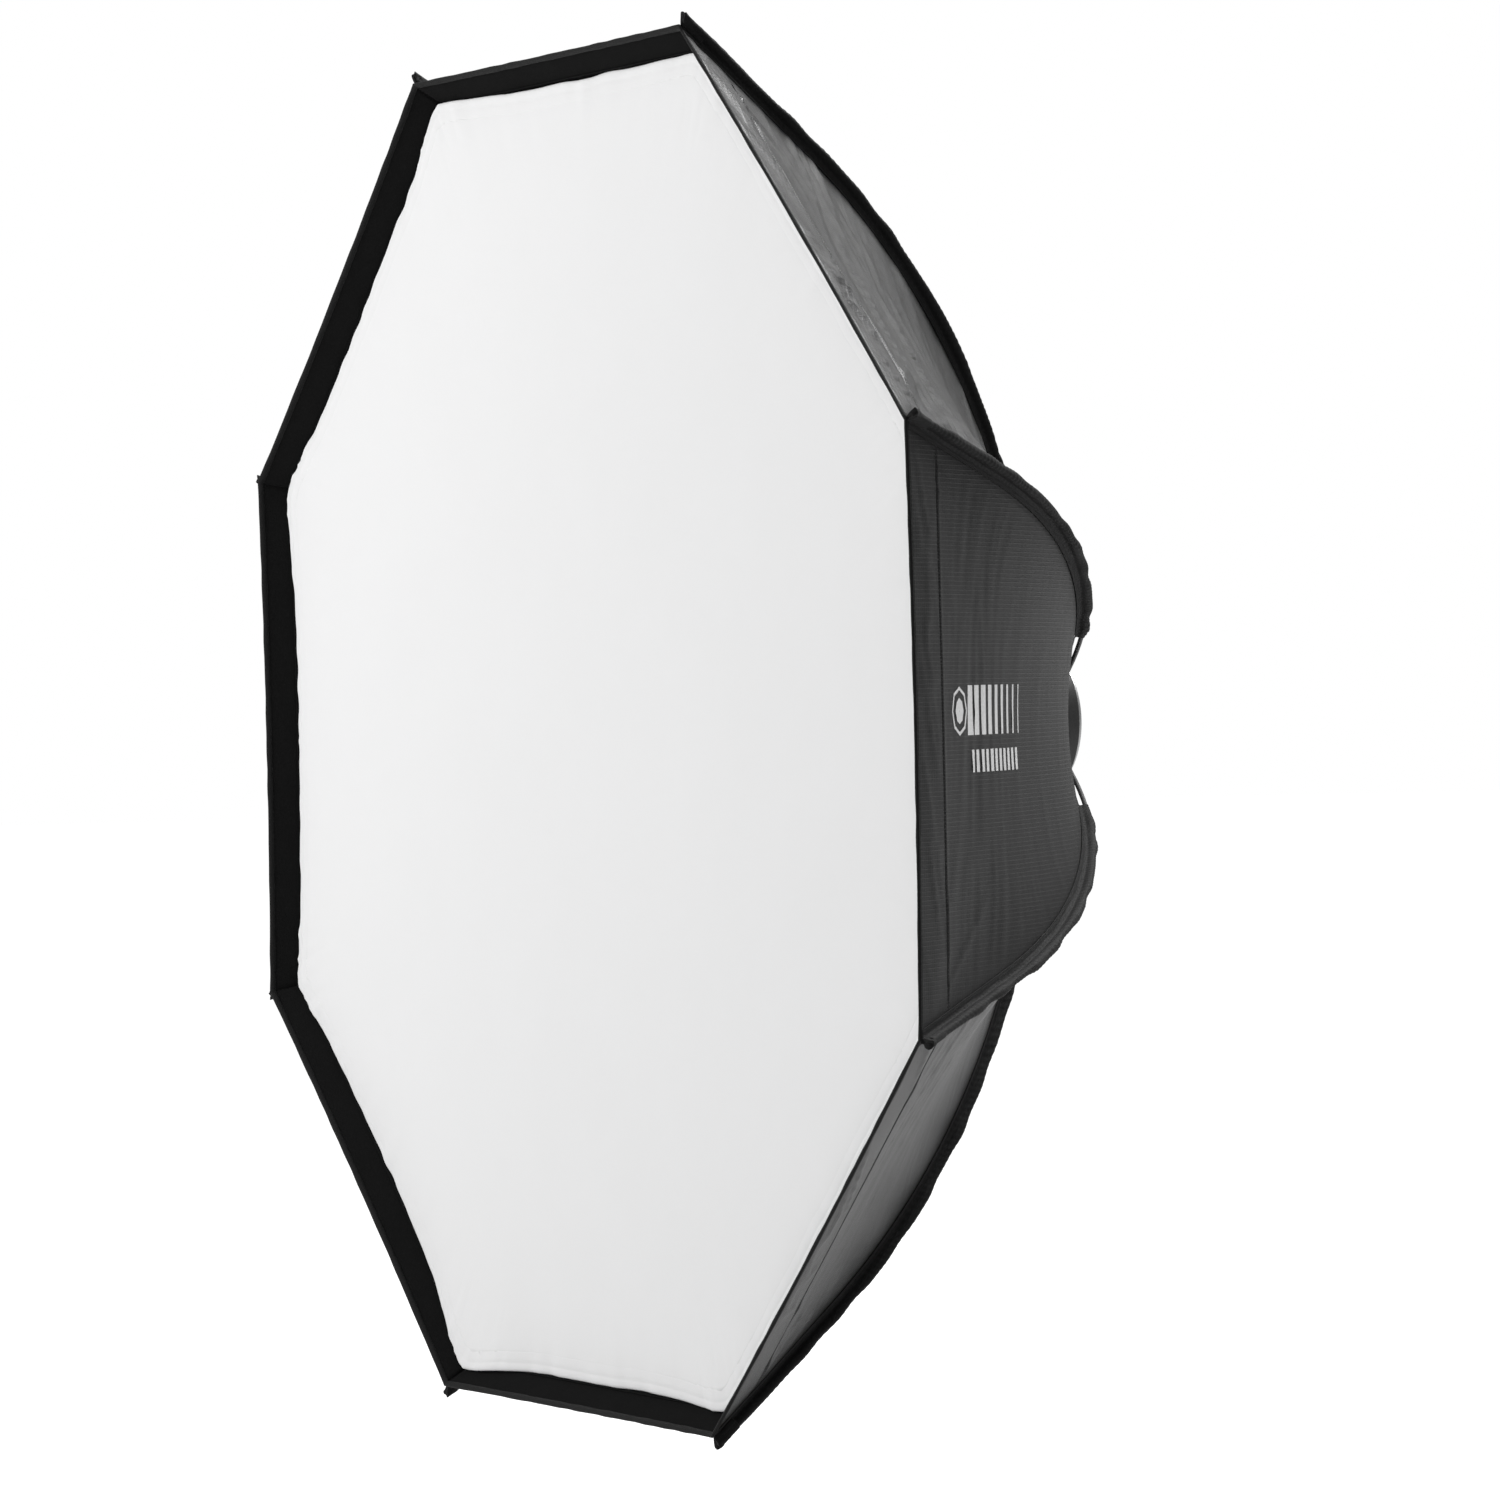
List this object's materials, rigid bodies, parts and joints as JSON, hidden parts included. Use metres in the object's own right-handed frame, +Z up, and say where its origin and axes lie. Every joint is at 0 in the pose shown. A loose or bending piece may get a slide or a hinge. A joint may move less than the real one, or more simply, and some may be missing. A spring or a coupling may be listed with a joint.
{
  "type": "studio softbox",
  "caption": "Octagonal studio softbox with sprung rods in sewn sleeves, a turning speedring on a bayonet adapter, and front and inner white diffusers",
  "frame": {"origin": "centre of the light mount, on the adapter's mounting face", "axes": "+Y along the mount towards the flash head, -Y the way the light leaves, +Z up, +X to the right for someone who stands in front of the diffuser and faces +Y"},
  "size_m": [1.4252, 0.607, 1.4252],
  "materials": {
    "cast_metal": "satin",
    "ring_paint": "satin",
    "steel": "satin",
    "nylon": "satin",
    "black_plastic": "matte",
    "rod_finish": "satin",
    "sleeve_fabric": "woven",
    "webbing": "woven",
    "shell_fabric": "woven",
    "silver_lining": "metallic woven",
    "loop_tape": "brushed",
    "diffuser_fabric": "woven",
    "elastic": "woven",
    "print_ink": "matte"
  },
  "bodies": {
    "adapter": {"adapter_ring": "cast_metal", "retainer_ring": "ring_paint", "retainer_screws": "steel"},
    "softbox": {"rear_glide_washer": "nylon", "front_glide_washer": "nylon", "turning_bush": "nylon", "speedring": "ring_paint", "rod_sockets": "steel", "rod_tips": "black_plastic", "rib_rod_1": "rod_finish", "rod_sleeve_1": "sleeve_fabric", "corner_pocket_1": "webbing", "shell_panel_1": "shell_fabric", "rib_rod_2": "rod_finish", "rod_sleeve_2": "sleeve_fabric", "corner_pocket_2": "webbing", "shell_panel_2": "shell_fabric", "rib_rod_3": "rod_finish", "rod_sleeve_3": "sleeve_fabric", "corner_pocket_3": "webbing", "shell_panel_3": "shell_fabric", "rib_rod_4": "rod_finish", "rod_sleeve_4": "sleeve_fabric", "corner_pocket_4": "webbing", "shell_panel_4": "shell_fabric", "rib_rod_5": "rod_finish", "rod_sleeve_5": "sleeve_fabric", "corner_pocket_5": "webbing", "shell_panel_5": "shell_fabric", "rib_rod_6": "rod_finish", "rod_sleeve_6": "sleeve_fabric", "corner_pocket_6": "webbing", "shell_panel_6": "shell_fabric", "rib_rod_7": "rod_finish", "rod_sleeve_7": "sleeve_fabric", "corner_pocket_7": "webbing", "shell_panel_7": "shell_fabric", "rib_rod_8": "rod_finish", "rod_sleeve_8": "sleeve_fabric", "corner_pocket_8": "webbing", "shell_panel_8": "shell_fabric", "front_hem": "webbing", "neck_collar": "webbing", "loop_band": "loop_tape", "inner_diffuser": "diffuser_fabric", "inner_cords": "elastic", "inner_clips": "black_plastic", "seam_loops": "webbing"},
    "lock_knob_1": {"lock_knob_1": "black_plastic", "lock_stud_1": "steel"},
    "lock_knob_2": {"lock_knob_2": "black_plastic", "lock_stud_2": "steel"},
    "front_diffuser": {"front_diffuser": "diffuser_fabric", "hook_band": "loop_tape"}
  },
  "joints": [
    {"name": "speedring_turn", "type": "hinge", "parent": "adapter", "child": "softbox", "pos_m": [0, -0.022, 0], "axis": [0, 1, 0], "continuous": true},
    {"name": "lock_knob_1_turn", "type": "hinge", "parent": "softbox", "child": "lock_knob_1", "pos_m": [0, -0.022, 0.1], "axis": [0, 0, 1], "range_deg": [0, 360]},
    {"name": "lock_knob_2_turn", "type": "hinge", "parent": "softbox", "child": "lock_knob_2", "pos_m": [0, -0.022, -0.1], "axis": [0, 0, -1], "range_deg": [0, 360]},
    {"name": "front_diffuser_off", "type": "slide", "parent": "softbox", "child": "front_diffuser", "axis": [0, -1, 0], "range_m": [0, 0.3]}
  ]
}
